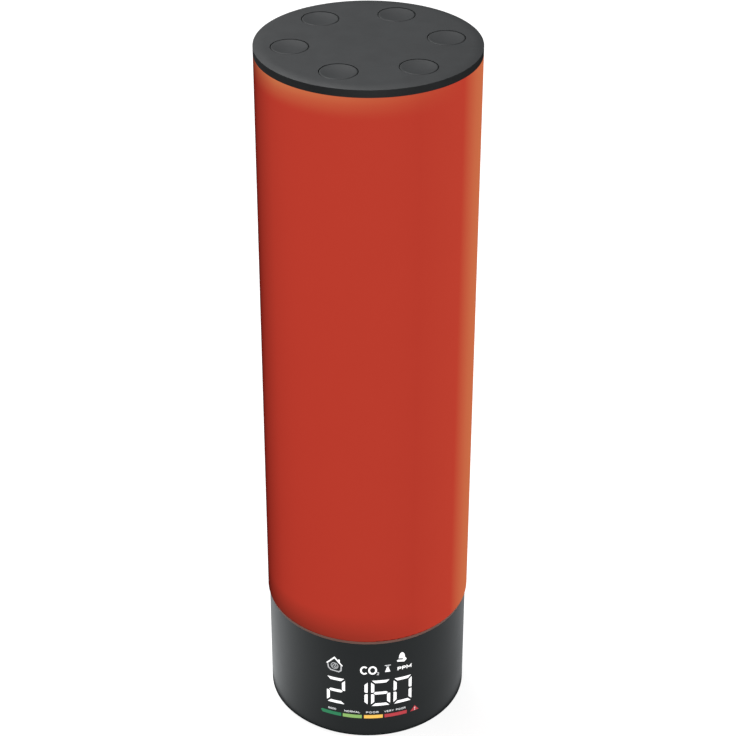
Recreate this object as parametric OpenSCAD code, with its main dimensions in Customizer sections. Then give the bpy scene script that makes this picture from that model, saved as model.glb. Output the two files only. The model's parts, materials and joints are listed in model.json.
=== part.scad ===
// Air quality monitor with a light column: a black base with a hidden digital
// display, an opal tube that glows in the colour of the air quality, and a cap
// with six round push keys. Millimetres, +Z up. The origin is on the column's
// axis, on the surface that the foot stands on. The display faces -Y.

/* [Column] */
// Outer radius of the light column and of the cap
column_r = 32; // [31.8:0.1:33]
// Wall of the opal tube
column_wall = 2.4; // [2.2:0.1:2.6]
// Length of the opal tube
column_length = 183.5; // [150:0.1:220]
// Rounding of the tube's lower edge
column_fillet = 0.8; // [0.4:0.1:1.2]

/* [Base] */
// Height of the tube's lower edge above the surface
base_height = 39.2; // [38.8:0.1:42]
// How far the base is set back from the tube
base_inset = 0.5; // [0.4:0.1:0.8]
// Wall of the base shell
base_wall = 2.2; // [2:0.1:2.3]
// How far the rubber foot stands out under the base
foot_proud = 0.8; // [0.5:0.1:1]
// Number of air slots at the back
vent_count = 13; // [5:2:15]
// Width of an air slot
vent_width = 1.4; // [1:0.1:1.6]
// Height of an air slot
vent_height = 12; // [8:0.5:13]

/* [Cap] */
// Height of the cap's upright rim
rim_height = 2.2; // [1.8:0.1:2.6]
// How far the cap's face rises above its rim
cap_rise = 0.35; // [0.3:0.05:0.7]
// Width of the rounded shoulder between the face and the rim
shoulder_width = 3; // [2:0.1:3.2]

/* [Keys] */
// Radius of a round key
key_r = 5.25; // [5:0.05:5.3]
// Radius of the ring on which the keys sit
key_ring_r = 21.9; // [21.7:0.1:22]
// Angle of the first key from +X
key_turn = 7.3; // [0:0.1:60]
// How far a key travels when it is pressed
key_travel = 0.6; // [0.3:0.1:0.7]
// Width of the dark gap around a key
key_gap = 0.2; // [0.15:0.05:0.4]
// Depth of the finger dish in a key
dish_depth = 0.35; // [0.2:0.05:0.6]

/* [Display] */
// Carbon dioxide reading that the display shows
reading = 2160; // [1000:1:9999]
// Height of a digit
digit_height = 10.3; // [8:0.1:11]
// Width of a digit
digit_width = 6.1; // [5:0.1:6.4]
// Thickness of a digit's segments
stroke = 1; // [0.8:0.05:1.3]
// Distance from one digit to the next, along the curve
digit_pitch = 7.2; // [6.8:0.1:7.4]
// Height of the middle of the digits
digit_z = 18.5; // [17:0.1:19.2]
// Height of the middle of the colour scale
scale_z = 8.9; // [7.5:0.05:9]
// Thickness of the lit legends on the base
legend_thickness = 0.08; // [0.05:0.01:0.1]

/* [Rear socket] */
// Width of the power socket
socket_width = 8.94; // [8.9:0.01:9]
// Height of the power socket
socket_height = 3.26; // [3.2:0.01:3.3]
// Depth of the power socket
socket_depth = 7.4; // [6.5:0.1:8]

/* [Hidden] */
$fn = 96;
fine = 0.01;

KEY_JOBS = ["power", "mode", "up", "down", "alarm", "light"];
KEY_NODES = [for (job = KEY_JOBS) str(job, "_key")];
PLUNGER_NODES = [for (job = KEY_JOBS) str(job, "_switch_plunger")];
STRIP_NODES = [for (i = [1 : 3]) str("led_strip_", i)];
LED_NODES = [for (i = [1 : 3]) str("leds_", i)];

// Heights
column_top = base_height + column_length;
rim_top = column_top + rim_height;
face_z = rim_top + cap_rise;
shell_z = foot_proud;
cover_thickness = 2.6;
cover_top = shell_z + cover_thickness;
deck_plate = 2.4;
deck_flange = 0.9;
deck_bottom = base_height - deck_plate;
shell_top = base_height - deck_flange;
board_thickness = 1.6;
main_board_z = 8;
main_board_top = main_board_z + board_thickness;

// Radii
base_r = column_r - base_inset;
base_inner_r = base_r - base_wall;
column_inner_r = column_r - column_wall;
slip = 0.2;
cover_r = base_inner_r - 0.15;
deck_r = base_inner_r - slip;
spigot_r = column_inner_r - slip;
spigot_wall = 1.4;
spigot_height = 5.6;

// Screw bosses of the base, where the cover and the deck are fastened
BOSS_ANGLES = [40, 140, 215, 325];
boss_ring_r = 24.4;
boss_r = 3.3;
boss_rib = 2;
boss_depth = 10;
base_screw_length = 9;
base_screw_r = 1.1;
base_pilot_r = 1.15;
base_screw_hole_r = 1.3;
base_head_r = 2.3;
base_head_height = 1.1;
counterbore_r = 2.7;
counterbore_depth = 1.2;

// Recess for a rating label in the middle of the cover
label_size = [24, 13];
label_depth = 0.3;
label_corner = 1.5;

// Rubber foot
foot_outer_r = 28.2;
foot_inner_r = 20;
foot_thickness = 2 * foot_proud;
foot_hole_r = 3.2;

// Main board and what stands on it
BOARD_STANDOFFS = [[-19, 3], [19, 3], [-9, -14], [9, -14]];
board_r = 27.6;
board_front_y = -18.5;
standoff_r = 2.4;
board_screw_pilot_r = 0.85;
sensor_y = -2;
sensor_board_z = 13;
sensor_board_thickness = 1;
sensor_size = [33.5, 19.7];
sensor_top = sensor_board_z + sensor_board_thickness;
connector_y = 14;
connector_size = [8, 4.5, 5];

// Display behind the front wall
display_half_angle = 34;
display_z = 5.2;
display_height = 30;
film_thickness = 0.4;
film_r = base_inner_r - 0.1;
reflector_r = film_r - film_thickness - 0.05;
reflector_half_width = 15.9;
reflector_back_y = -21.6;
segment_gap = 0.3;
side_gap = 0.75;
middle_gap = 0.35;

// Rear socket and vents
socket_wall = 0.3;
recess_y = base_r - 1.1;
socket_mouth_y = recess_y - 0.1;
socket_z = main_board_top + socket_height / 2;
recess_size = [13.4, 7.6];
vent_z = 25.8;
vent_span = 68;
mesh_half_angle = 37;

// Light engine
spine_r = 8.5;
spine_wall = 1.2;
spine_flat = spine_r / 2;
spine_top = column_top - 13.4;
strip_width = 10;
strip_thickness = 0.8;
strip_margin = 9.6;
strip_length = spine_top - base_height - 2 * strip_margin;
led_size = 5;
led_thickness = 1.5;
led_count = 10;
collar_r = 11;
collar_height = 5;
socket_clearance = 0.2;

// Cap, key board and keys
cap_plate_z = column_top + 0.4;
skirt_height = 6;
skirt_wall = 1.4;
reflector_plate = 1.6;
reflector_z = spine_top;
reflector_top = reflector_z + reflector_plate;
key_board_z = column_top - 9.2;
key_board_top = key_board_z + board_thickness;
key_board_r = 27.6;
switch_height = 2.8;
switch_size = 6;
switch_bore_r = 1.85;
plunger_r = 1.75;
plunger_height = 2;
key_bottom = column_top - 3.6;
flange_height = 0.8;
key_flange_r = key_r + 0.75;
collar_clearance = 0.1;
key_guide_r = key_r + collar_clearance;
key_collar_r = key_guide_r + 1.3;
key_collar_bottom = key_bottom + flange_height + collar_clearance;
gap_depth = 0.9;
key_roof = 1.7;
key_wall = 1.15;
key_stem_r = 1.6;
cap_boss_ring_r = 22.5;
cap_boss_r = 2.8;
cap_screw_r = 0.85;
board_boss_ring_r = 11.5;
board_boss_r = 2.2;
board_screw_r = 0.7;

function boss_position(angle) = [boss_ring_r * cos(angle), boss_ring_r * sin(angle), 0];
function key_angle(i) = key_turn + 60 * i;
function key_position(i) = [key_ring_r * cos(key_angle(i)), key_ring_r * sin(key_angle(i)), 0];
function cap_boss_angle(i) = key_turn + 30 + 120 * i;
function board_boss_angle(i) = key_turn + 90 + 120 * i;
function polar(r, angle) = [r * cos(angle), r * sin(angle), 0];
function cap_boss(i) = polar(cap_boss_ring_r, cap_boss_angle(i));
function board_boss(i) = polar(board_boss_ring_r, board_boss_angle(i));

// ---------- shared shapes ----------

// Children at a place seen from above, and at a height
module at(place, z) {
    translate([place[0], place[1], z]) children();
}

module ring(outer, inner, height) {
    difference() {
        cylinder(r = outer, h = height);
        translate([0, 0, -1]) cylinder(r = inner, h = height + 2);
    }
}

// A wedge of the space around the axis, symmetric about a direction
module wedge(direction, half_angle, reach, height) {
    half_width = reach * tan(half_angle);
    rotate([0, 0, direction])
        linear_extrude(height = height)
            polygon([[0, 0], [reach, -half_width], [reach, half_width]]);
}

// A self-tapping screw with a cross recess: its shank points up from the head
module screw(head_r, head_height, shank_r, shank_length) {
    recess = head_r * 0.3;
    difference() {
        union() {
            cylinder(r = head_r, h = head_height);
            translate([0, 0, head_height - fine]) cylinder(r = shank_r, h = shank_length + fine);
        }
        for (turn = [0, 90])
            rotate([0, 0, turn])
                translate([-head_r * 0.62, -recess / 2, -fine])
                    cube([head_r * 1.24, recess, head_height * 0.55]);
    }
}

module screw_down(head_r, head_height, shank_r, shank_length) {
    mirror([0, 0, 1])
        translate([0, 0, -head_height])
            screw(head_r, head_height, shank_r, shank_length);
}

module box_at(x, y, z, size) {
    translate([x - size[0] / 2, y - size[1] / 2, z]) cube(size);
}

module triangle_prism(r, height) {
    rotate([0, 0, 90]) cylinder(r = r, h = height, $fn = 3);
}

// A stadium-shaped bar along Y, used for the power socket
module stadium_bar(width, height, y_from, y_to) {
    r = height / 2;
    for (side = [-1, 1])
        translate([side * (width / 2 - r), y_to, socket_z])
            rotate([90, 0, 0]) cylinder(r = r, h = y_to - y_from);
    translate([-(width / 2 - r), y_from, socket_z - r])
        cube([width - height, y_to - y_from, height]);
}

// ---------- base ----------

module rubber_foot() {
    color("#1c1d1e")
        difference() {
            ring(foot_outer_r, foot_inner_r, foot_thickness);
            for (angle = BOSS_ANGLES)
                at(boss_position(angle), -1) cylinder(r = foot_hole_r, h = foot_thickness + 2);
        }
}

module bottom_cover() {
    color("#26282a")
        difference() {
            union() {
                translate([0, 0, shell_z]) cylinder(r = cover_r, h = cover_thickness);
                for (place = BOARD_STANDOFFS)
                    at(place, cover_top - fine) cylinder(r = standoff_r, h = main_board_z - cover_top + fine);
            }
            difference() {
                translate([0, 0, shell_z - 1])
                    ring(foot_outer_r + 0.1, foot_inner_r - 0.1, 1 + foot_thickness - foot_proud);
                for (angle = BOSS_ANGLES)
                    at(boss_position(angle), 0) cylinder(r = foot_hole_r - 0.1, h = cover_top);
            }
            label_recess();
            for (angle = BOSS_ANGLES)
                at(boss_position(angle), 0) {
                    cylinder(r = counterbore_r, h = shell_z + counterbore_depth);
                    cylinder(r = base_screw_hole_r, h = cover_top + 1);
                }
            for (place = BOARD_STANDOFFS)
                at(place, cover_top) cylinder(r = board_screw_pilot_r, h = main_board_z);
        }
}

module label_recess() {
    inner = [label_size[0] - 2 * label_corner, label_size[1] - 2 * label_corner];
    for (x = [-1, 1], y = [-1, 1])
        at([x * inner[0] / 2, y * inner[1] / 2], 0) cylinder(r = label_corner, h = shell_z + label_depth);
    box_at(0, 0, 0, [label_size[0], inner[1], shell_z + label_depth]);
    box_at(0, 0, 0, [inner[0], label_size[1], shell_z + label_depth]);
}

module cover_screws() {
    color("#8d9194")
        for (angle = BOSS_ANGLES)
            at(boss_position(angle), shell_z + counterbore_depth - base_head_height)
                screw(base_head_r, base_head_height, base_screw_r, base_screw_length);
}

module vent_slot(height, width) {
    depth = base_wall + 6;
    translate([base_inner_r - 3, -width / 2, vent_z - height / 2 + width / 2])
        cube([depth, width, height - width]);
    for (end = [-1, 1])
        translate([base_inner_r - 3, 0, vent_z + end * (height - width) / 2])
            rotate([0, 90, 0]) cylinder(r = width / 2, h = depth);
}

module base_shell() {
    chamfer = 0.3;
    color("#2b2f30")
        difference() {
            union() {
                rotate_extrude()
                    polygon([
                        [base_inner_r, shell_z], [base_r - chamfer, shell_z], [base_r, shell_z + chamfer],
                        [base_r, shell_top], [base_inner_r, shell_top]
                    ]);
                intersection() {
                    for (angle = BOSS_ANGLES) {
                        at(boss_position(angle), cover_top) cylinder(r = boss_r, h = deck_bottom - cover_top);
                        rotate([0, 0, angle])
                            translate([boss_ring_r, -boss_rib / 2, cover_top])
                                cube([base_r - boss_ring_r, boss_rib, deck_bottom - cover_top]);
                    }
                    cylinder(r = base_inner_r + base_wall / 2, h = base_height);
                }
            }
            for (angle = BOSS_ANGLES) {
                at(boss_position(angle), cover_top - 1) cylinder(r = base_pilot_r, h = boss_depth + 1);
                at(boss_position(angle), deck_bottom - boss_depth)
                    cylinder(r = base_pilot_r, h = boss_depth + 1);
            }
            for (i = [0 : vent_count - 1])
                rotate([0, 0, 90 - vent_span / 2 + vent_span * i / (vent_count - 1)])
                    vent_slot(vent_height, vent_width);
            translate([-recess_size[0] / 2, recess_y, socket_z - recess_size[1] / 2])
                cube([recess_size[0], 5, recess_size[1]]);
            stadium_bar(socket_width + 0.4, socket_height + 0.4, base_inner_r - 4, recess_y + 1);
        }
}

module vent_mesh() {
    color("#3a3c3e")
        intersection() {
            translate([0, 0, vent_z - vent_height / 2 - 2])
                ring(base_inner_r - 0.1, base_inner_r - 0.6, vent_height + 4);
            translate([0, 0, vent_z - vent_height]) wedge(90, mesh_half_angle, 40, 2 * vent_height);
        }
}

// ---------- display ----------

// A distance along the base's curve, as seen straight from the front
function flat_x(s) = base_r * sin(s / base_r * 180 / PI);

// Segments a to g that are lit for each digit
SEGMENTS_OF = [
    [1, 1, 1, 1, 1, 1, 0], [0, 1, 1, 0, 0, 0, 0], [1, 1, 0, 1, 1, 0, 1], [1, 1, 1, 1, 0, 0, 1],
    [0, 1, 1, 0, 0, 1, 1], [1, 0, 1, 1, 0, 1, 1], [1, 0, 1, 1, 1, 1, 1], [1, 1, 1, 0, 0, 0, 0],
    [1, 1, 1, 1, 1, 1, 1], [1, 1, 1, 1, 0, 1, 1]
];
READING_DIGITS = [for (power = [3 : -1 : 0]) floor(reading / pow(10, power)) % 10];

function digit_s(place) = (place - 1.5) * digit_pitch;

// Middle of a segment from the digit's middle
function segment_x(k) = (k == 1 || k == 2) ? 1 : (k == 4 || k == 5) ? -1 : 0;
function segment_z(k) = k == 0 ? 2 : (k == 1 || k == 5) ? 1 : (k == 2 || k == 4) ? -1 : k == 3 ? -2 : 0;

// Corners of the top segment, of the upper right one and of the middle one, about the digit's middle
half_w = digit_width / 2;
half_h = digit_height / 2;
TOP_SEGMENT = [
    [segment_gap - half_w, half_h], [half_w - segment_gap, half_h],
    [half_w - stroke - segment_gap, half_h - stroke], [stroke + segment_gap - half_w, half_h - stroke]
];
SIDE_SEGMENT = [
    [half_w, half_h - side_gap], [half_w, middle_gap], [half_w - 0.65 * stroke, middle_gap],
    [half_w - stroke, middle_gap + 0.35 * stroke], [half_w - stroke, half_h - stroke - side_gap]
];
tip = stroke / 2 + segment_gap;
foot = stroke + segment_gap;
MIDDLE_SEGMENT = [
    [tip - half_w, 0], [foot - half_w, stroke / 2], [half_w - foot, stroke / 2],
    [half_w - tip, 0], [half_w - foot, -stroke / 2], [foot - half_w, -stroke / 2]
];

// The corners of segment k of a digit, as [distance along the curve, height]
function segment_outline(s, k) =
    let (
        side = k == 4 || k == 5 ? -1 : 1,
        up = k == 2 || k == 3 || k == 4 ? -1 : 1,
        corners = k == 6 ? MIDDLE_SEGMENT : (k == 0 || k == 3) ? TOP_SEGMENT : SIDE_SEGMENT
    )
    [for (c = corners) [s + side * c[0], digit_z + up * c[1]]];

// A front-facing prism of an outline given along the curve
module front_prism(outline, y_from, y_to) {
    translate([0, y_to, 0])
        rotate([90, 0, 0])
            linear_extrude(height = y_to - y_from)
                polygon([for (p = outline) [flat_x(p[0]), p[1]]]);
}

// A thin lit legend on the outside of the base
module legend(outline) {
    intersection() {
        front_prism(outline, -base_r - 2, -base_r / 2);
        translate([0, 0, shell_z]) ring(base_r + legend_thickness, base_r, base_height);
    }
}

scale_height = 1.3;

function box_outline(s, bottom, top) = [[s[0], bottom], [s[1], bottom], [s[1], top], [s[0], top]];
function bar_outline(bar, trim) =
    box_outline([bar[0] + trim, bar[1] - trim], scale_z - scale_height / 2, scale_z + scale_height / 2);

SCALE_BARS = [[-15.55, -9.05], [-8.55, -2.4], [-1.7, 4.3], [4.85, 12.3]];
warning_triangle = [[13.6, scale_z - 0.5], [16.6, scale_z - 0.5], [15.1, scale_z + 1.5]];

module digits() {
    color("#fdfdfd")
        for (place = [0 : 3])
            for (k = [0 : 6])
                if (SEGMENTS_OF[READING_DIGITS[place]][k] == 1)
                    legend(segment_outline(digit_s(place), k));
}

module scale_green() {
    color("#1f9d5b")
        legend(concat([[SCALE_BARS[0][0] - 0.5, scale_z + 0.2]], bar_outline(SCALE_BARS[0], 0)));
}

module scale_lime() {
    color("#7fbf4d") legend(bar_outline(SCALE_BARS[1], 0));
}

module scale_amber() {
    color("#e8b04a") legend(bar_outline(SCALE_BARS[2], 0));
}

module scale_red() {
    color("#c8303f") {
        legend(bar_outline(SCALE_BARS[3], 0));
        legend(warning_triangle);
    }
}

module display_film() {
    color("#e9e9e6")
        intersection() {
            translate([0, 0, display_z]) ring(film_r, film_r - film_thickness, display_height);
            wedge(270, display_half_angle, 40, base_height);
        }
}

module display_reflector() {
    icon_wells = [[-14.25, -8.05], [-3.45, 3.75], [4.55, 7.35], [8.35, 12.95]];
    well_bottom = 25.2;
    well_top = 31.8;
    color("#f1f1ee")
        difference() {
            intersection() {
                translate([0, 0, display_z]) cylinder(r = reflector_r, h = display_height);
                translate([-reflector_half_width, -base_r, 0])
                    cube([2 * reflector_half_width, base_r + reflector_back_y, base_height]);
            }
            for (place = [0 : 3])
                for (k = [0 : 6])
                    front_prism(segment_outline(digit_s(place), k), -base_r - 2, reflector_back_y + 1);
            for (bar = SCALE_BARS)
                front_prism(bar_outline(bar, 0.2), -base_r - 2, reflector_back_y + 1);
            for (well = icon_wells)
                front_prism(box_outline(well, well_bottom, well_top), -base_r - 2, reflector_back_y + 1);
        }
}

module display_board() {
    color("#1d5b38")
        translate([-17, reflector_back_y, display_z - 0.2])
            cube([34, board_thickness, display_height + 0.4]);
}

// One small LED on the display board at the back of each well
module display_leds() {
    chip = [0.8, 0.4, 0.8];
    color("#f6f0d0") {
        for (place = [0 : 3])
            for (k = [0 : 6])
                display_led(digit_s(place) + segment_x(k) * (digit_width - stroke) / 2,
                    digit_z + segment_z(k) * (digit_height - stroke) / 4, chip);
        for (bar = SCALE_BARS)
            display_led((bar[0] + bar[1]) / 2, scale_z, chip);
        for (s = [-11.15, 0.15, 5.95, 10.65])
            display_led(s, 28.4, chip);
    }
}

module display_led(s, z, chip) {
    translate([flat_x(s) - chip[0] / 2, reflector_back_y - chip[1], z - chip[2] / 2]) cube(chip);
}

module display_header() {
    color("#141414")
        translate([-10, reflector_back_y + board_thickness, main_board_top]) cube([20, 3.4, 2.5]);
}

// ---------- main board ----------

module main_board() {
    color("#1d5b38")
        difference() {
            translate([0, 0, main_board_z]) cylinder(r = board_r, h = board_thickness);
            translate([-40, board_front_y - 40, 0]) cube([80, 40, 40]);
            for (angle = BOSS_ANGLES) {
                at(boss_position(angle), 0) cylinder(r = boss_r + 0.4, h = 40);
                rotate([0, 0, angle])
                    translate([boss_ring_r, -boss_rib / 2 - 0.4, 0]) cube([10, boss_rib + 0.8, 40]);
            }
            for (place = BOARD_STANDOFFS)
                at(place, 0) cylinder(r = 1, h = 40);
        }
}

module main_board_screws() {
    color("#8d9194")
        for (place = BOARD_STANDOFFS)
            at(place, main_board_top) screw_down(1.9, 1.2, 0.8, 5.4);
}

module socket_shell() {
    color("#b9bcbe")
        difference() {
            stadium_bar(socket_width, socket_height, socket_mouth_y - socket_depth, socket_mouth_y);
            stadium_bar(socket_width - 2 * socket_wall, socket_height - 2 * socket_wall,
                socket_mouth_y - socket_depth + 1, socket_mouth_y + 1);
        }
}

module socket_tongue() {
    tongue = [6.7, 5.6, 0.7];
    color("#101112")
        translate([-tongue[0] / 2, socket_mouth_y - socket_depth + 1, socket_z - tongue[2] / 2]) cube(tongue);
}

module board_chips() {
    color("#161718") {
        box_at(10.5, 14, main_board_top, [7, 7, 1]);
        box_at(-22, -6, main_board_top, [4, 5, 1.5]);
        box_at(22, -6, main_board_top, [5, 4, 1.5]);
        for (x = [-6 : 3 : 6])
            box_at(x, 19, main_board_top, [1.6, 0.8, 0.6]);
        for (y = [-8 : 3 : 4])
            box_at(-3, y, main_board_top, [2, 1.2, 0.9]);
    }
}

module buzzer() {
    color("#111213")
        translate([-10.5, 14.5, main_board_top])
            difference() {
                cylinder(r = 4.5, h = 4.2);
                translate([0, 0, 3]) cylinder(r = 0.9, h = 3);
            }
}

module board_connector() {
    color("#ececea") box_at(0, connector_y, main_board_top, connector_size);
}

module sensor_board() {
    color("#0f3a78")
        box_at(0, sensor_y, sensor_board_z, [sensor_size[0], sensor_size[1], sensor_board_thickness]);
}

module sensor_pins() {
    pin = [0.6, 0.6, sensor_board_z - main_board_top];
    color("#c9a24a")
        for (side = [-1, 1])
            for (i = [0 : 3])
                box_at(side * 15.2, sensor_y - 3.8 + 2.54 * i, main_board_top, pin);
}

module sensor_chamber() {
    color("#d1a94f")
        union() {
            box_at(-4, sensor_y, sensor_top, [21, 13, 6]);
            box_at(11.5, sensor_y, sensor_top, [7, 13, 3]);
        }
}

module sensor_filter() {
    color("#f5f5f2") box_at(-4, sensor_y, sensor_top + 6, [15, 8, 0.5]);
}

// ---------- cable ----------

// The flat cable rises from the main board, leans in to the axis and runs up
// inside the light spine to the key board
module ribbon_cable() {
    cable_width = 5;
    cable_thickness = 0.5;
    start_z = main_board_top + connector_size[2];
    end_z = key_board_z - 2;
    lean_from = 25;
    lean_to = 33;
    t = cable_thickness / 2;
    near_side = [[connector_y - t, start_z], [connector_y - t, lean_from], [-t, lean_to], [-t, end_z]];
    far_side = [[t, end_z], [t, lean_to + t], [connector_y + t, lean_from + t], [connector_y + t, start_z]];
    color("#c9cbcc")
        translate([-cable_width / 2, 0, 0])
            rotate([90, 0, 90])
                linear_extrude(height = cable_width)
                    polygon(concat(near_side, far_side));
}

// ---------- light column ----------

module column_deck() {
    color("#f4f4f2")
        difference() {
            union() {
                translate([0, 0, deck_bottom]) cylinder(r = deck_r, h = deck_plate);
                translate([0, 0, shell_top]) cylinder(r = base_r, h = deck_flange);
                translate([0, 0, base_height - fine]) ring(spigot_r, spigot_r - spigot_wall, spigot_height);
                translate([0, 0, base_height - fine]) cylinder(r = collar_r, h = collar_height);
            }
            translate([0, 0, base_height]) triangle_prism(spine_r + socket_clearance, 20);
            cylinder(r = 3.6, h = 60);
            for (angle = BOSS_ANGLES)
                at(boss_position(angle), 0) cylinder(r = base_screw_hole_r, h = base_height + 1);
        }
}

module deck_screws() {
    color("#8d9194")
        for (angle = BOSS_ANGLES)
            at(boss_position(angle), base_height)
                screw_down(base_head_r, base_head_height, base_screw_r, base_screw_length);
}

module diffuser_tube() {
    top_edge = 0.3;
    color("#c0432f")
        rotate_extrude() {
            difference() {
                translate([column_inner_r, base_height]) square([column_wall, column_length]);
                translate([column_r - column_fillet, base_height - 1])
                    square([column_fillet + 1, column_fillet + 1]);
                translate([column_r - top_edge, column_top - top_edge]) square([1, 1]);
            }
            intersection() {
                translate([column_r - column_fillet, base_height + column_fillet]) circle(r = column_fillet);
                translate([column_r - column_fillet, base_height]) square(column_fillet);
            }
            intersection() {
                translate([column_r - top_edge, column_top - top_edge]) circle(r = top_edge);
                translate([column_r - top_edge, column_top - top_edge]) square(top_edge);
            }
        }
}

module light_spine() {
    color("#dfe0e0")
        translate([0, 0, base_height])
            difference() {
                triangle_prism(spine_r, spine_top - base_height);
                translate([0, 0, -1]) triangle_prism(spine_r - 2 * spine_wall, spine_top - base_height + 2);
            }
}

// Strips sit on the three flats of the spine, at 270, 30 and 150 degrees
function strip_angle(i) = 270 + 120 * i;

module led_strip(i) {
    color("#f2f2ef")
        rotate([0, 0, strip_angle(i)])
            translate([spine_flat, -strip_width / 2, base_height + strip_margin])
                cube([strip_thickness, strip_width, strip_length]);
}

module leds(i) {
    pitch = strip_length / led_count;
    first_z = base_height + strip_margin + (pitch - led_size) / 2;
    color("#f7e9a8")
        rotate([0, 0, strip_angle(i)])
            for (k = [0 : led_count - 1])
                translate([spine_flat + strip_thickness, -led_size / 2, first_z + pitch * k])
                    difference() {
                        cube([led_thickness, led_size, led_size]);
                        translate([led_thickness - 0.4, led_size / 2, led_size / 2])
                            rotate([0, 90, 0]) cylinder(r = 1.9, h = 1);
                    }
}

// ---------- cap ----------

module top_reflector() {
    color("#f4f4f2")
        difference() {
            union() {
                translate([0, 0, reflector_z]) cylinder(r = spigot_r, h = reflector_plate);
                translate([0, 0, reflector_z - collar_height]) cylinder(r = collar_r, h = collar_height + 1);
            }
            translate([0, 0, reflector_z - collar_height - 1])
                triangle_prism(spine_r + socket_clearance, collar_height + 1);
            translate([0, 0, reflector_z - 1]) cylinder(r = 3.6, h = 5);
            for (i = [0 : 2])
                at(cap_boss(i), reflector_z - 1) cylinder(r = 1.05, h = 5);
        }
}

module reflector_screws() {
    color("#8d9194")
        for (i = [0 : 2])
            at(cap_boss(i), reflector_z - 1.4) screw(2, 1.4, cap_screw_r, 8.4);
}

module key_board() {
    color("#1d5b38")
        difference() {
            translate([0, 0, key_board_z]) cylinder(r = key_board_r, h = board_thickness);
            for (i = [0 : 2]) {
                at(cap_boss(i), key_board_z - 1) cylinder(r = cap_boss_r + 0.3, h = 5);
                at(board_boss(i), key_board_z - 1) cylinder(r = 0.9, h = 5);
            }
        }
}

module key_board_screws() {
    color("#8d9194")
        for (i = [0 : 2])
            at(board_boss(i), key_board_z - 1.1) screw(1.7, 1.1, board_screw_r, 6.2);
}

module key_connector() {
    color("#ececea") box_at(0, 0, key_board_z - 2, [8, 4.5, 2]);
}

module key_switches() {
    color("#1a1a1b")
        for (i = [0 : 5])
            at(key_position(i), 0)
                rotate([0, 0, key_angle(i)])
                    difference() {
                        box_at(0, 0, key_board_top, [switch_size, switch_size, switch_height]);
                        translate([0, 0, key_board_top + 1.2]) cylinder(r = switch_bore_r, h = switch_height);
                    }
}

module switch_plunger(i) {
    color("#8b1f1f")
        at(key_position(i), key_bottom - plunger_height) cylinder(r = plunger_r, h = plunger_height);
}

// A round key with a finger dish on top and a flange that keeps it in the cap
module key(i) {
    dish_edge_r = key_r - 0.45;
    dish_r = (dish_edge_r * dish_edge_r + dish_depth * dish_depth) / (2 * dish_depth);
    edge = 0.25;
    height = face_z - key_bottom;
    color("#4b4d4f")
        at(key_position(i), key_bottom)
            difference() {
                union() {
                    cylinder(r = key_flange_r, h = flange_height);
                    cylinder(r = key_r, h = height - edge);
                    rotate_extrude() {
                        square([key_r - edge, height]);
                        intersection() {
                            translate([key_r - edge, height - edge]) circle(r = edge);
                            translate([0, height - edge]) square([key_r, edge]);
                        }
                    }
                }
                translate([0, 0, height - dish_depth + dish_r]) sphere(r = dish_r, $fn = 180);
                translate([0, 0, -1]) ring(key_r - key_wall, key_stem_r, height - key_roof + 1);
            }
}

module top_cap() {
    arc_r = (shoulder_width * shoulder_width + cap_rise * cap_rise) / (2 * cap_rise);
    flat_r = column_r - shoulder_width;
    collar_length = cap_plate_z - key_collar_bottom + fine;
    color("#4b4d4f")
        difference() {
            union() {
                translate([0, 0, cap_plate_z]) cylinder(r = flat_r, h = face_z - cap_plate_z);
                rotate_extrude()
                    intersection() {
                        translate([flat_r, face_z - arc_r]) circle(r = arc_r);
                        translate([flat_r - 1, column_top]) square([shoulder_width + 1, face_z - column_top]);
                    }
                translate([0, 0, column_top - skirt_height])
                    ring(spigot_r, spigot_r - skirt_wall, skirt_height + 1);
                for (i = [0 : 5])
                    at(key_position(i), key_collar_bottom) cylinder(r = key_collar_r, h = collar_length);
                for (i = [0 : 2]) {
                    at(cap_boss(i), reflector_top)
                        cylinder(r = cap_boss_r, h = cap_plate_z - reflector_top + fine);
                    at(board_boss(i), key_board_top)
                        cylinder(r = board_boss_r, h = cap_plate_z - key_board_top + fine);
                }
            }
            for (i = [0 : 5]) {
                at(key_position(i), key_bottom) cylinder(r = key_guide_r, h = 20);
                at(key_position(i), face_z - gap_depth) cylinder(r = key_r + key_gap, h = 5);
            }
            for (i = [0 : 2]) {
                at(cap_boss(i), reflector_z) cylinder(r = cap_screw_r + 0.05, h = 10);
                at(board_boss(i), key_board_top - 1) cylinder(r = board_screw_r + 0.05, h = 6.4);
            }
        }
}

// ---------- all nodes ----------

rubber_foot();
bottom_cover();
cover_screws();
base_shell();
vent_mesh();
display_film();
display_reflector();
display_board();
display_leds();
display_header();
digits();
scale_green();
scale_lime();
scale_amber();
scale_red();
main_board();
main_board_screws();
socket_shell();
socket_tongue();
board_chips();
buzzer();
board_connector();
sensor_board();
sensor_pins();
sensor_chamber();
sensor_filter();
ribbon_cable();
column_deck();
deck_screws();
diffuser_tube();
light_spine();
for (i = [0 : 2]) {
    led_strip(i);
    leds(i);
}
top_reflector();
reflector_screws();
key_board();
key_board_screws();
key_connector();
key_switches();
top_cap();
for (i = [0 : 5]) {
    switch_plunger(i);
    key(i);
}
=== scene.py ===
import json
import math

import bmesh
import bpy
from mathutils import Matrix, Vector


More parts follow.
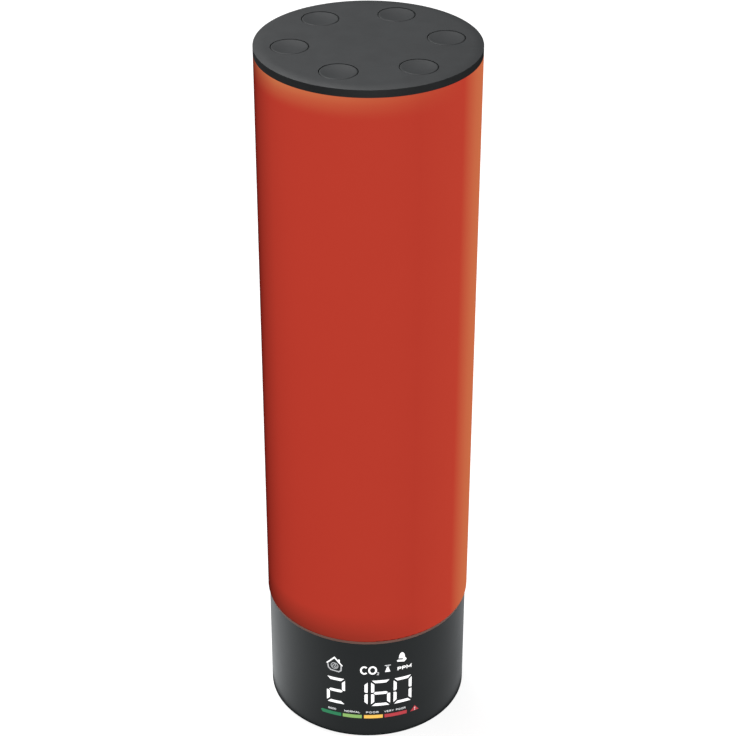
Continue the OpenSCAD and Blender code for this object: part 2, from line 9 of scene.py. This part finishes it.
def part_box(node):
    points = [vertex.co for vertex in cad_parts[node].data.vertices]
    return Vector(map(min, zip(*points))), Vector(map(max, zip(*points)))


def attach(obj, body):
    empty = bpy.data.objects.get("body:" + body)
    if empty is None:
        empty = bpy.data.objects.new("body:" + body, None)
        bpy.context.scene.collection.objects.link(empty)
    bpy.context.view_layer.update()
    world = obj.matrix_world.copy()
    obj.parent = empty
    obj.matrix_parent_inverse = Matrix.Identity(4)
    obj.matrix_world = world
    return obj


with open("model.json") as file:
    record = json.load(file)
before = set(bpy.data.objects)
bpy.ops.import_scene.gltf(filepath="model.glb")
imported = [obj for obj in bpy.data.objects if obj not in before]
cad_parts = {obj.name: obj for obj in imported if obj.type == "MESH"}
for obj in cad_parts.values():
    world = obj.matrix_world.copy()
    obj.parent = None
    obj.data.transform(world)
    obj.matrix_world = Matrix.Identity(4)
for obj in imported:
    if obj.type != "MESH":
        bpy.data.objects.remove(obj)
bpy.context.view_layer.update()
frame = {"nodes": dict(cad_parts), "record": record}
nodes = frame["nodes"]
MM = 0.001


# ---------------------------------------------------------------- materials

class Shader:
    """A node tree with one Principled shader, built up step by step."""

    def __init__(self, name, color, roughness, metallic=0.0, specular=0.5):
        self.material = bpy.data.materials.new(name)
        self.material.use_nodes = True
        self.tree = self.material.node_tree
        self.bsdf = self.tree.nodes["Principled BSDF"]
        self.set("Base Color", (*color, 1))
        self.set("Roughness", roughness)
        self.set("Metallic", metallic)
        self.set("Specular IOR Level", specular)
        self.coords = self.tree.nodes.new("ShaderNodeTexCoord")

    def set(self, socket, value):
        self.bsdf.inputs[socket].default_value = value

    def node(self, kind, **settings):
        """A new node. A setting is one of its properties or, with _ for a space, one of its inputs."""
        made = self.tree.nodes.new("ShaderNode" + kind)
        for key, value in settings.items():
            if hasattr(made, key):
                setattr(made, key, value)
            else:
                made.inputs[key.replace("_", " ")].default_value = value
        return made

    def link(self, source, target):
        self.tree.links.new(source, target)

    def noise(self, scale, detail, rough=0.5, stretch=None):
        made = self.node("TexNoise", Scale=scale, Detail=detail, Roughness=rough)
        if stretch:
            mapping = self.node("Mapping")
            mapping.inputs["Scale"].default_value = stretch
            self.link(self.coords.outputs["Object"], mapping.inputs["Vector"])
            self.link(mapping.outputs["Vector"], made.inputs["Vector"])
        else:
            self.link(self.coords.outputs["Object"], made.inputs["Vector"])
        return made.outputs["Fac"]

    def span(self, source, low, high, socket):
        """Sends a 0..1 value to a socket as low..high."""
        made = self.node("MapRange", To_Min=low, To_Max=high)
        self.link(source, made.inputs["Value"])
        self.link(made.outputs["Result"], self.bsdf.inputs[socket])

    def tint(self, source, low, high):
        """Sends a 0..1 value to the base colour as a blend of two colours."""
        self.link(self.ramp(source, [(0.3, low), (0.7, high)]), self.bsdf.inputs["Base Color"])

    def ramp(self, source, stops):
        """Colours for a 0..1 value, as (place, colour) pairs."""
        made = self.node("ValToRGB")
        elements = made.color_ramp.elements
        while len(elements) < len(stops):
            elements.new(0.5)
        for element, (place, color) in zip(elements, stops):
            element.position = place
            element.color = (*color, 1)
        self.link(source, made.inputs["Fac"])
        return made.outputs["Color"]

    def levels(self, source, stops):
        """A ramp of plain amounts, as (place, amount) pairs."""
        return self.ramp(source, [(place, (amount, amount, amount)) for place, amount in stops])

    def bump(self, source, strength, distance):
        made = self.node("Bump", Strength=strength, Distance=distance)
        self.link(source, made.inputs["Height"])
        self.link(made.outputs["Normal"], self.bsdf.inputs["Normal"])

    def along(self, axis, low, high):
        """0..1 along one of the object's axes, between two places."""
        split = self.node("SeparateXYZ")
        self.link(self.coords.outputs["Object"], split.inputs["Vector"])
        made = self.node("MapRange", From_Min=low, From_Max=high)
        self.link(split.outputs[axis], made.inputs["Value"])
        return made.outputs["Result"]

    def product(self, first, second):
        made = self.node("Math", operation="MULTIPLY")
        self.link(first, made.inputs[0])
        self.link(second, made.inputs[1])
        return made.outputs["Value"]

    def blended(self, amount, first, second):
        """A blend of two colours, each a colour or another node's output."""
        made = self.node("Mix", data_type="RGBA")
        if isinstance(amount, float):
            made.inputs["Factor"].default_value = amount
        else:
            self.link(amount, made.inputs["Factor"])
        for socket, color in zip([i for i in made.inputs if i.type == "RGBA"], (first, second)):
            if isinstance(color, tuple):
                socket.default_value = (*color, 1)
            else:
                self.link(color, socket)
        return next(o for o in made.outputs if o.type == "RGBA")


def times(color, factor):
    return tuple(c * factor for c in color)


def speckled(color, amount):
    """A colour a little darker and a little lighter."""
    return times(color, 1 - amount), tuple(min(1, c) for c in times(color, 1 + amount))


def moulded(name, color, roughness, grain=2600, depth=0.03, specular=0.5, variation=0.08):
    """Injection-moulded plastic with a fine spark-eroded grain and a faint cloudiness."""
    s = Shader(name, color, roughness, specular=specular)
    s.tint(s.noise(180, 4), *speckled(color, variation))
    s.span(s.noise(420, 3), roughness - 0.05, roughness + 0.06, "Roughness")
    s.bump(s.noise(grain, 2, 0.6), 0.35, depth * MM)
    return s


def metal(name, color, roughness, stretch=(1, 1, 1)):
    """Bare or plated metal. stretch draws its fine marks out along an axis."""
    s = Shader(name, color, roughness, metallic=1.0)
    s.span(s.noise(1500, 4, stretch=stretch), roughness - 0.08, roughness + 0.12, "Roughness")
    s.tint(s.noise(700, 2), *speckled(color, 0.06))
    s.bump(s.noise(3000, 2, stretch=stretch), 0.2, 0.01 * MM)
    return s


def lit(name, color, strength, base=(0.8, 0.8, 0.8)):
    """A lit legend: light that comes through the base's wall, a little uneven."""
    s = Shader(name, base, 0.4)
    s.link(s.ramp(s.noise(500, 1), [(0.3, times(color, 0.94)), (0.7, color)]),
           s.bsdf.inputs["Emission Color"])
    s.set("Emission Strength", strength)
    s.bump(s.noise(2600, 1), 0.1, 0.01 * MM)
    return s


def solder_mask(name, color):
    """A circuit board's lacquer, with paler tracks under it."""
    s = Shader(name, color, 0.35)
    lighter = tuple(min(1, c * 1.7 + 0.01) for c in color)
    tracks = s.node("TexBrick", Scale=260.0, Mortar_Size=0.035, Color1=(*color, 1),
                    Color2=(*times(color, 0.85), 1), Mortar=(*lighter, 1))
    s.link(s.coords.outputs["Object"], tracks.inputs["Vector"])
    s.link(tracks.outputs["Color"], s.bsdf.inputs["Base Color"])
    s.bump(tracks.outputs["Fac"], 0.3, 0.03 * MM)
    return s


def woven(name, color, threads):
    """A fine square mesh: threads run both ways over and under, with painted shade where one dips under
    another.
    """
    s = Shader(name, color, 0.85)
    waves = []
    for direction in ("X", "Z"):
        wave = s.node("TexWave", Scale=threads, bands_direction=direction)
        s.link(s.coords.outputs["Object"], wave.inputs["Vector"])
        waves.append(wave.outputs["Fac"])
    both = s.product(*waves)
    # painted shade: the colour falls to a fifth where the threads dip under each other
    shade = s.ramp(both, [(0.05, times(color, 0.2)), (0.5, color)])
    s.link(shade, s.bsdf.inputs["Base Color"])
    s.bump(both, 0.8, 0.15 * MM)
    return s


# The lit tube's colours: most of it, a painted highlight right under the cap, and a painted highlight along
# its right side
TUBE_GLOW = (0.542, 0.0350, 0.0190)
TUBE_PAINTED_TOP_HIGHLIGHT = (0.71, 0.212, 0.076)
TUBE_PAINTED_RIM_HIGHLIGHT = (0.545, 0.150, 0.058)
# painted shade at the foot: how much of TUBE_GLOW is left there
TUBE_FOOT_PAINTED_SHADE = 0.4       # its light at the foot, as a part of TUBE_GLOW
# painted light: the glow a little in from the left edge, as a part of TUBE_GLOW
TUBE_LEFT_PAINTED_LIGHT = 1.09      # its light a little in from its left edge, as a part of TUBE_GLOW
COAT_WEIGHT = 0.85
COAT_TINT = (0.78, 0.74, 0.765, 1)
COAT_PASSES = 0.80    # what the coat lets through head on


def glowing_tube():
    """Opal tube lit from inside. Painted in its glow: an orange highlight under the cap, more so at its left,
    shade dimming it at its foot, a little brighter towards its left, and a warm highlight along its right
    side. The coat only absorbs light, so the tube looks darker where the eye meets it at a slant, except
    along the painted highlight of its right side, where the coat is left off."""
    s = Shader("opal_glow", (0.34, 0.10, 0.06), 0.6, specular=0.0)
    s.tint(s.noise(60, 2), (0.33, 0.098, 0.059), (0.35, 0.102, 0.061))
    low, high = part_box("diffuser_tube")
    total = high.z - low.z
    place = s.along("Z", low.z, high.z)
    across = s.along("X", low.x, high.x)
    # painted shade: the glow dims over the foot's lowest 10 mm, more at its left
    foot = s.levels(place, [(above * MM / total, amount) for above, amount in (
        (0, 1), (2.5, 0.72), (5, 0.45), (10, 0))])
    foot_shade_side = s.levels(across, [(0.15, 1), (0.5, 0.6), (0.8, 0)])
    # painted highlight: orange right under the cap, strongest a little in from its left
    top = s.levels(place, [(1 - below * MM / total, amount) for below, amount in (
        (6.6, 0), (5.6, 0.09), (4.7, 0.21), (3.7, 0.38), (2.8, 0.52), (1.9, 0.68), (0.9, 0.98), (0, 1))])
    top_highlight_side = s.levels(across, [(0, 0.5), (0.1, 0.98), (0.2, 0.78), (0.5, 0.44), (0.78, 0.11), (0.9, 0)])
    # painted light: a brighter band a little in from the tube's left edge
    left = s.levels(across, [(0.04, 0), (0.08, 1), (0.14, 0.85), (0.27, 0.35), (0.45, 0)])
    # the coat is left off along the right side, so the painted highlight there is not dimmed; the glow there
    # takes the coat's head-on loss instead
    uncoated = s.levels(across, [(0.71, 0), (0.9, 1)])
    # painted highlight: a warm band along the tube's right side
    right = s.levels(across, [(0.90, 0), (0.933, 0.42), (0.96, 0.74), (1, 1)])
    glow = s.blended(left, TUBE_GLOW, times(TUBE_GLOW, TUBE_LEFT_PAINTED_LIGHT))
    glow = s.blended(s.product(foot, foot_shade_side), glow, times(TUBE_GLOW, TUBE_FOOT_PAINTED_SHADE))
    glow = s.blended(s.product(top, top_highlight_side), glow, TUBE_PAINTED_TOP_HIGHLIGHT)
    glow = s.blended(uncoated, glow, s.blended(COAT_PASSES, (0, 0, 0), glow))
    glow = s.blended(right, glow, TUBE_PAINTED_RIM_HIGHLIGHT)
    s.link(glow, s.bsdf.inputs["Emission Color"])
    s.set("Emission Strength", 1.0)
    s.span(uncoated, COAT_WEIGHT, 0.0, "Coat Weight")
    s.set("Coat IOR", 1.0)
    s.set("Coat Roughness", 1.0)
    s.set("Coat Tint", COAT_TINT)
    s.bump(s.noise(1800, 2), 0.12, 0.02 * MM)
    return s


def dark_gloss():
    """Dark translucent wall of the base: satin gloss over a nearly black body."""
    s = Shader("base_gloss", (0.009, 0.014, 0.015), 0.3)
    s.tint(s.noise(90, 3), (0.0085, 0.0135, 0.0145), (0.0095, 0.0145, 0.0155))
    s.span(s.noise(260, 3), 0.27, 0.33, "Roughness")
    s.bump(s.noise(2400, 2, 0.6), 0.15, 0.015 * MM)
    return s


CAP_COLOR = (0.054, 0.0575, 0.060)

# One look for each material slot of the record
looks = {
    "foot_rubber": moulded("rubber_black", (0.022, 0.022, 0.023), 0.85, 1500, 0.06, 0.3),
    "base_plastic": dark_gloss(),
    "cover_plastic": moulded("cover_black", (0.022, 0.024, 0.025), 0.6, 1800, 0.06),
    "screw_steel": metal("zinc_plated", (0.56, 0.57, 0.58), 0.32),
    "mesh_fabric": woven("dust_mesh", (0.05, 0.05, 0.052), 900.0),
    "film_plastic": moulded("diffusing_film", (0.85, 0.85, 0.83), 0.6),
    "legend_white": lit("lit_white", (1.0, 1.0, 1.0), 1.15),
    "legend_green": lit("lit_green", (0.018, 0.175, 0.075), 1.0, (0.02, 0.16, 0.07)),
    "legend_lime": lit("lit_lime", (0.24, 0.41, 0.12), 1.0, (0.2, 0.4, 0.12)),
    "legend_amber": lit("lit_amber", (0.87, 0.50, 0.095), 1.0, (0.8, 0.5, 0.1)),
    "legend_red": lit("lit_red", (0.42, 0.04, 0.05), 1.0, (0.4, 0.04, 0.05)),
    "board_green": solder_mask("solder_mask_green", (0.02, 0.12, 0.05)),
    "board_blue": solder_mask("solder_mask_blue", (0.01, 0.05, 0.2)),
    "led_package": moulded("phosphor", (0.9, 0.82, 0.5), 0.35, 4000, 0.01),
    "chip_black": moulded("chip_black", (0.02, 0.02, 0.022), 0.5, 4000, 0.02),
    "connector_white": moulded("connector_white", (0.8, 0.8, 0.78), 0.45, 3000, 0.02),
    "socket_steel": metal("nickel_plated", (0.62, 0.62, 0.60), 0.25, (1, 6, 1)),
    "sensor_gold": metal("gold_flash", (0.80, 0.60, 0.25), 0.3),
    "filter_fabric": woven("membrane", (0.88, 0.88, 0.86), 2200.0),
    "cable_grey": moulded("cable_grey", (0.55, 0.56, 0.57), 0.5, 2000, 0.02),
    "inner_white": moulded("inner_white", (0.84, 0.84, 0.83), 0.5, 2600, 0.02),
    "diffuser_glow": glowing_tube(),
    "spine_aluminium": metal("extruded_aluminium", (0.75, 0.76, 0.77), 0.3, (8, 8, 0.3)),
    "cap_plastic": moulded("cap_grey", CAP_COLOR, 0.55, 2600, 0.035, 0.45),
    "key_plastic": moulded("key_grey", CAP_COLOR, 0.52, 2600, 0.03, 0.45),
    "plunger_red": moulded("plunger_red", (0.3, 0.02, 0.02), 0.45),
}

# Looks that differ from their slot's: the display's paler legends, and the deck, tinted pink as painted light
# from the tube
dim_white = lit("lit_dim", (0.56, 0.57, 0.58), 1.0)
soft_white = lit("lit_soft", (0.40, 0.41, 0.42), 1.0)
faint_white = lit("lit_faint", (0.30, 0.31, 0.32), 1.0)
# painted light: the deck's pink stands in for the tube's red light falling on it
own_looks = {"column_deck": moulded("deck_painted_tube_light", (0.55, 0.30, 0.24), 0.5, 2600, 0.02)}

slot_of = {part["node"]: part["material_slot"] for part in frame["record"]["subparts"]}
for name, piece in nodes.items():
    piece.data.materials.clear()
    piece.data.materials.append(own_looks.get(name, looks[slot_of[name]]).material)


# ---------------------------------------------------------------- shape helpers

SHARP_ANGLE = math.radians(30)


def placed(name, data):
    made = bpy.data.objects.new(name, data)
    bpy.context.scene.collection.objects.link(made)
    return made


def finished(name, bm, slot, look=None):
    """A new piece on the monitor's body, in its slot's look unless it has its own."""
    bm.normal_update()
    mesh = bpy.data.meshes.new(name)
    bm.to_mesh(mesh)
    bm.free()
    piece = placed(name, mesh)
    mesh.materials.append((look or looks[slot]).material)
    mesh.shade_smooth()
    mesh.set_sharp_from_angle(angle=SHARP_ANGLE)
    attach(piece, "monitor")


def closed_solid(bm, inner, outer):
    """Faces between two rings of corners, which run counter-clockwise as seen from the outer one."""
    inner = [bm.verts.new(corner) for corner in inner]
    outer = [bm.verts.new(corner) for corner in outer]
    bm.faces.new(outer)
    bm.faces.new(inner[::-1])
    for i in range(len(inner)):
        j = (i + 1) % len(inner)
        bm.faces.new((inner[i], inner[j], outer[j], outer[i]))


def counter_clockwise(outline):
    area = sum(a[0] * b[1] - b[0] * a[1] for a, b in zip(outline, outline[1:] + outline[:1]))
    return outline[::-1] if area < 0 else outline


def stroke(points, width, closed=False):
    """A line of even width as one quad per stretch, mitred where two stretches meet."""
    n = len(points)
    left, right = [], []
    for i, p in enumerate(points):
        p = Vector(p)
        before = Vector(points[i - 1]) if i or closed else None
        after = Vector(points[(i + 1) % n]) if i < n - 1 or closed else None
        d1 = (p - before).normalized() if before is not None else (after - p).normalized()
        d2 = (after - p).normalized() if after is not None else d1
        middle = (d1 + d2).normalized()
        side = Vector((-middle.y, middle.x))
        reach = width / 2 / max(0.35, side.dot(Vector((-d1.y, d1.x))))
        left.append(tuple(p + side * reach))
        right.append(tuple(p - side * reach))
    quads = []
    for i in range(n if closed else n - 1):
        j = (i + 1) % n
        quads.append([left[i], left[j], right[j], right[i]])
    return quads


def arc(cx, cz, rx, rz, start, end, steps=24):
    """Points on part of an ellipse, between two angles in degrees."""
    return [
        (cx + rx * math.cos(math.radians(start + (end - start) * i / steps)),
         cz + rz * math.sin(math.radians(start + (end - start) * i / steps)))
        for i in range(steps + 1)
    ]


def loop(cx, cz, rx, rz, steps=32):
    return arc(cx, cz, rx, rz, 0, 360, steps)[:-1]


# ---------------------------------------------------------------- display legends

BASE_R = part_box("base_shell")[1].x
LAYER = 0.08 * MM         # as thick as the digits and the scale of the CAD
MARK_LAYER = 0.11 * MM    # stands clear of the warning triangle


def on_base(r, outline):
    """An outline's corners on a cylinder of radius r, from (distance along the base's curve,
    height) in millimetres."""
    return [(r * math.sin(s * MM / BASE_R), -r * math.cos(s * MM / BASE_R), z * MM) for s, z in outline]


def legend(name, outlines, look=None, layer=LAYER):
    """Thin solids on the base's outer surface, one for each convex outline."""
    bm = bmesh.new()
    for outline in map(counter_clockwise, outlines):
        closed_solid(bm, on_base(BASE_R, outline), on_base(BASE_R + layer, outline))
    finished(name, bm, "legend_white", look)


# Letters on a grid one unit high: each one's width and its strokes
P_BOWL = [(0.06, 0), (0.06, 1), (0.42, 1), (0.58, 0.86), (0.58, 0.62), (0.42, 0.46), (0.06, 0.46)]
LETTERS = {
    "A": (0.76, [[(0.04, 0), (0.38, 1), (0.72, 0)], [(0.16, 0.34), (0.60, 0.34)]]),
    "D": (0.72, [[(0.06, 0), (0.06, 1)],
                 [(0.06, 1), (0.35, 1), (0.62, 0.8), (0.68, 0.5), (0.62, 0.2), (0.35, 0), (0.06, 0)]]),
    "E": (0.62, [[(0.56, 1), (0.06, 1), (0.06, 0), (0.56, 0)], [(0.06, 0.5), (0.5, 0.5)]]),
    "G": (0.76, [arc(0.40, 0.5, 0.34, 0.5, 42, 340, 14) + [(0.72, 0.45), (0.45, 0.45)]]),
    "L": (0.58, [[(0.06, 1), (0.06, 0), (0.54, 0)]]),
    "M": (0.86, [[(0.06, 0), (0.06, 1), (0.43, 0.3), (0.80, 1), (0.80, 0)]]),
    "N": (0.74, [[(0.06, 0), (0.06, 1), (0.68, 0), (0.68, 1)]]),
    "O": (0.80, [loop(0.40, 0.5, 0.34, 0.5, 20)]),
    "P": (0.64, [P_BOWL]),
    "R": (0.68, [P_BOWL, [(0.34, 0.46), (0.64, 0)]]),
    "V": (0.76, [[(0.04, 1), (0.38, 0), (0.72, 1)]]),
    "Y": (0.72, [[(0.04, 1), (0.36, 0.5), (0.68, 1)], [(0.36, 0.5), (0.36, 0)]]),
    "2": (0.62, [arc(0.31, 0.72, 0.25, 0.28, 170, -20, 8) + [(0.06, 0.0), (0.58, 0.0)]]),
    " ": (0.45, []),
}
LETTER_GAP = 0.16


def word(text, s, z, height, width, weight):
    """A word's quads. It starts at s, stands on z and is width long; weight is its line's width."""
    advance = sum(LETTERS[c][0] + LETTER_GAP for c in text) - LETTER_GAP
    scale = width / advance
    quads = []
    for c in text:
        for line in LETTERS[c][1]:
            quads += stroke([(s + x * scale, z + y * height) for x, y in line], weight, c == "O")
        s += (LETTERS[c][0] + LETTER_GAP) * scale
    return quads


# House: thick roof and chimney, thinner walls, a ring with a fan-like swirl inside
HOUSE = (-11.15, 28.4)
roof = stroke([(-13.75, 28.85), (-11.15, 31.7), (-8.6, 28.75)], 0.42)
chimney = [[(-9.9, 30.3), (-9.4, 29.8), (-9.4, 31.15), (-9.9, 31.15)]]
legend("house_roof", roof + chimney)
walls = [(-13.4, 28.6), (-13.2, 27.3), (-12.4, 26.5), (-9.75, 26.25), (-9.0, 26.9), (-8.95, 28.6)]
legend("house_walls", stroke(walls, 0.42), look=soft_white)
swirl = stroke(loop(*HOUSE, 1.15, 1.15, 28), 0.24, True)
for k in range(3):
    blade = []
    for r, a in ((0.2, 0), (0.5, 25), (0.75, 65), (0.85, 105)):
        turn = math.radians(120 * k + a)
        blade.append((HOUSE[0] + r * math.cos(turn), HOUSE[1] + r * math.sin(turn)))
    swirl += stroke(blade, 0.26)
legend("house_swirl", swirl, look=faint_white)

# Gas and unit
letters = stroke(arc(-1.64, 27.85, 1.02, 1.36, 45, 315), 0.54)
letters += stroke(loop(1.0, 27.85, 1.1, 1.36), 0.56, True)
legend("gas_letters", letters)
legend("gas_subscript", word("2", 2.4, 26.0, 0.95, 0.6, 0.2), look=dim_white)
legend("unit_letters", word("PPM", 9.0, 26.75, 1.15, 4.65, 0.27))

# Hourglass: a thin bar and funnel above, the lower half full
funnel = stroke([(4.8, 29.45), (6.75, 29.45)], 0.26)
funnel += stroke([(5.25, 29.4), (5.78, 28.7)], 0.2) + stroke([(6.3, 29.4), (5.78, 28.7)], 0.2)
legend("hourglass_top", funnel, look=dim_white)
lower_half = [[(5.5, 28.6), (4.95, 26.85), (6.6, 26.85), (6.05, 28.6)]]
legend("hourglass_bottom", lower_half)

# Bell: a dome that flares at its right, over a rim that stands clear of it at its left
dome = arc(10.4, 31.9, 0.95, 1.7, 0, 180, 12) + [(9.3, 31.5), (10.65, 31.25), (11.55, 31.3)]
flare = [(10.65, 31.25), (11.55, 31.3), (11.95, 30.85), (11.85, 30.5), (10.9, 30.5)]
rim = [(8.8, 30.75), (8.85, 30.3), (11.15, 29.8), (11.85, 30.5), (10.9, 30.6), (9.2, 30.95)]
legend("bell", [dome, flare, rim])

# Small names over the scale's four colours
NAME_FOOT = 10.4
NAME_HEIGHT = 0.6
NAME_WEIGHT = 0.14
for text, start, end in (
        ("GOOD", -13.45, -10.75), ("NORMAL", -8.0, -2.95), ("POOR", -1.05, 2.95), ("VERY POOR", 4.75, 11.85)):
    name = "scale_name_" + text.lower().replace(" ", "_")
    legend(name, word(text, start, NAME_FOOT, NAME_HEIGHT, end - start, NAME_WEIGHT), look=dim_white)

# Mark inside the warning triangle
mark = [
    [(14.98, 9.05), (15.22, 9.05), (15.3, 9.75), (14.9, 9.75)],
    [(14.98, 8.55), (15.22, 8.55), (15.22, 8.85), (14.98, 8.85)],
]
legend("warning_mark", mark, look=dim_white, layer=MARK_LAYER)


# ---------------------------------------------------------------- small parts of the back and underside

def slab(bm, outline, low, high):
    """An upright prism on an outline of (x, y) corners, in millimetres. low and high are in metres."""
    lower, upper = [[(x * MM, y * MM, z) for x, y in counter_clockwise(outline)] for z in (low, high)]
    closed_solid(bm, lower, upper)


def rounded_rectangle(half_x, half_y, corner):
    """An outline round the origin, counter-clockwise."""
    points = []
    for k, (sx, sy) in enumerate(((1, 1), (-1, 1), (-1, -1), (1, -1))):
        points += arc(sx * (half_x - corner), sy * (half_y - corner), corner, corner, 90 * k, 90 * k + 90, 6)
    return points


# A blank rating label in the cover's recess, with a printed border and two ruled lines
BORDER_X = 11.0
BORDER_Y = 5.5
RULED_Y = 1.8
label_film = moulded("label_film", (0.55, 0.56, 0.57), 0.38, 5000, 0.006, variation=0.03)
label_ink = moulded("label_ink", (0.03, 0.03, 0.032), 0.5, 5000, 0.004)
recess_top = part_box("bottom_cover")[0].z + 0.3 * MM
label = bmesh.new()
slab(label, rounded_rectangle(11.7, 6.2, 1.2), recess_top - 0.12 * MM, recess_top - 0.01 * MM)
finished("rating_label", label, "film_plastic", label_film)
lines = stroke([(BORDER_X, BORDER_Y), (-BORDER_X, BORDER_Y), (-BORDER_X, -BORDER_Y), (BORDER_X, -BORDER_Y)],
               0.3, True)
for y in (RULED_Y, -RULED_Y):
    lines += stroke([(-BORDER_X, y), (BORDER_X, y)], 0.2)
border = bmesh.new()
for line in lines:
    slab(border, line, recess_top - 0.14 * MM, recess_top - 0.115 * MM)
finished("rating_label_border", border, "chip_black", label_ink)

# Gold contacts on both faces of the socket's tongue
CONTACTS = 12
CONTACT_PITCH = 0.5
CONTACT_HALF = 0.15
tongue_low, tongue_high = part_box("socket_tongue")
near, far = tongue_high.y / MM - 0.5, tongue_high.y / MM - 3.2
contacts = bmesh.new()
for face, away in ((tongue_low.z, -1), (tongue_high.z, 1)):
    bottom, top = sorted((face - away * 0.02 * MM, face + away * 0.03 * MM))
    for i in range(CONTACTS):
        x = (i - (CONTACTS - 1) / 2) * CONTACT_PITCH
        left, right = x - CONTACT_HALF, x + CONTACT_HALF
        slab(contacts, [(left, far), (right, far), (right, near), (left, near)], bottom, top)
finished("socket_contacts", contacts, "sensor_gold")


# ---------------------------------------------------------------- stage, lights and camera

FLOOR_HALF = 6.0
FLOOR_Z = -0.00005
FLOOR_LIGHT = 0.91
floor_mesh = bpy.data.meshes.new("floor")
floor_mesh.from_pydata(
    [(x * FLOOR_HALF, y * FLOOR_HALF, FLOOR_Z) for x, y in ((-1, -1), (1, -1), (1, 1), (-1, 1))],
    [], [(0, 1, 2, 3)])
floor_white = Shader("floor_white", (0.5, 0.5, 0.5), 0.9, specular=0.0)
floor_white.set("Emission Color", (1, 1, 1, 1))
floor_white.set("Emission Strength", FLOOR_LIGHT)
floor_mesh.materials.append(floor_white.material)
floor = placed("floor", floor_mesh)
floor.visible_diffuse = False
floor.visible_glossy = False

# The surroundings are white to the camera and dim to everything else
WORLD_LIGHT = 0.05
world = bpy.data.worlds.new("studio")
bpy.context.scene.world = world
world.use_nodes = True
tree = world.node_tree
background = tree.nodes["Background"]
background.inputs["Color"].default_value = (1, 1, 1, 1)
path = tree.nodes.new("ShaderNodeLightPath")
strength = tree.nodes.new("ShaderNodeMapRange")
strength.inputs["To Min"].default_value = WORLD_LIGHT
strength.inputs["To Max"].default_value = 1.0
tree.links.new(path.outputs["Is Camera Ray"], strength.inputs["Value"])
tree.links.new(strength.outputs["Result"], background.inputs["Strength"])


def softbox(name, place, target, size, power):
    """A square lamp, size metres wide, turned towards its target."""
    data = bpy.data.lights.new(name, "AREA")
    data.shape = "SQUARE"
    data.size = size
    data.energy = power
    light = placed(name, data)
    light.location = place
    light.rotation_euler = (Vector(target) - Vector(place)).to_track_quat("-Z", "Y").to_euler()
    light.visible_camera = False


# One lamp overhead and behind, a weak one at each side and one in front
softbox("overhead", (-0.34, 0.36, 1.15), (0, 0, 0.2), 0.8, 10.6)
softbox("left", (-0.94, -0.34, 0.3), (0, 0, 0.12), 0.5, 0.6)
softbox("right", (0.94, -0.34, 0.3), (0, 0, 0.12), 0.5, 0.9)
softbox("front", (0, -1.0, 0.2), (0, 0, 0.12), 0.6, 1.9)


# Rings of the bright table: radius, and how much of the left patch and of the even light is there
TABLE_RINGS = [(0.033, 1, 0.8), (0.048, 0.95, 0.92), (0.070, 0.7, 1.05), (0.095, 0.45, 1.05),
               (0.115, 0.2, 0.8), (0.14, 0, 0)]
TABLE_STEPS = 72
TABLE_Z = 0.0002
TABLE_COLOR = (0.97, 1, 1.02)
EVEN_LIGHT = 0.52
PATCH_LIGHT = 0.48
PATCH_ANGLE = 176     # degrees from +X, which is to the left as the camera sees it
PATCH_SPREAD = 44     # degrees


def bounce_ring():
    """The bright table round the foot, which only reflections see. It is brighter at its left."""
    vertices, faces, shades = [], [], []
    for r, _, _ in TABLE_RINGS:
        for i in range(TABLE_STEPS):
            a = 2 * math.pi * i / TABLE_STEPS
            vertices.append((r * math.cos(a), r * math.sin(a), TABLE_Z))
    for j in range(len(TABLE_RINGS) - 1):
        near, far = j * TABLE_STEPS, (j + 1) * TABLE_STEPS
        _, near_patch, near_even = TABLE_RINGS[j]
        _, far_patch, far_even = TABLE_RINGS[j + 1]
        for i in range(TABLE_STEPS):
            k = (i + 1) % TABLE_STEPS
            faces.append((near + i, far + i, far + k, near + k))
            angle = 360 * (i + 0.5) / TABLE_STEPS
            patch = PATCH_LIGHT * math.exp(-((angle - PATCH_ANGLE) / PATCH_SPREAD) ** 2)
            shades.append(patch * (near_patch + far_patch) / 2 + EVEN_LIGHT * (near_even + far_even) / 2)
    mesh = bpy.data.meshes.new("bounce_ring")
    mesh.from_pydata(vertices, [], faces)
    layer = mesh.color_attributes.new("shade", "FLOAT_COLOR", "CORNER")
    for polygon, shade in zip(mesh.polygons, shades):
        for corner in polygon.loop_indices:
            layer.data[corner].color = (*times(TABLE_COLOR, shade), 1)
    material = bpy.data.materials.new("bounce_ring")
    material.use_nodes = True
    parts, links = material.node_tree.nodes, material.node_tree.links
    emission = parts.new("ShaderNodeEmission")
    attribute = parts.new("ShaderNodeVertexColor")
    attribute.layer_name = "shade"
    links.new(attribute.outputs["Color"], emission.inputs["Color"])
    links.new(emission.outputs["Emission"], parts["Material Output"].inputs["Surface"])
    mesh.materials.append(material)
    ring = placed("bounce_ring", mesh)
    ring.visible_camera = ring.visible_diffuse = ring.visible_shadow = False


bounce_ring()

# Camera in front of the monitor and above it, a very little to the left. Lengths are in metres,
# its lens in millimetres.
CAMERA_ANGLE = math.radians(268.8)
CAMERA_REACH = 0.5292
CAMERA_HEIGHT = 0.4440
CAMERA_LENS = 100.19
CAMERA_ROLL = math.radians(0.094)
CAMERA_AIM = Vector((0.00006, 0, 0.11970))
camera_data = bpy.data.cameras.new("camera")
camera_data.sensor_width = 36.0
camera_data.lens = CAMERA_LENS
camera_data.clip_start = 0.01
camera = placed("camera", camera_data)
camera.location = (
    CAMERA_REACH * math.cos(CAMERA_ANGLE), CAMERA_REACH * math.sin(CAMERA_ANGLE), CAMERA_HEIGHT)
look_at = (CAMERA_AIM - camera.location).to_track_quat("-Z", "Y").to_matrix().to_4x4()
camera.rotation_euler = (look_at @ Matrix.Rotation(CAMERA_ROLL, 4, "Z")).to_euler()
bpy.context.scene.camera = camera

bpy.context.scene.view_settings.view_transform = "Standard"
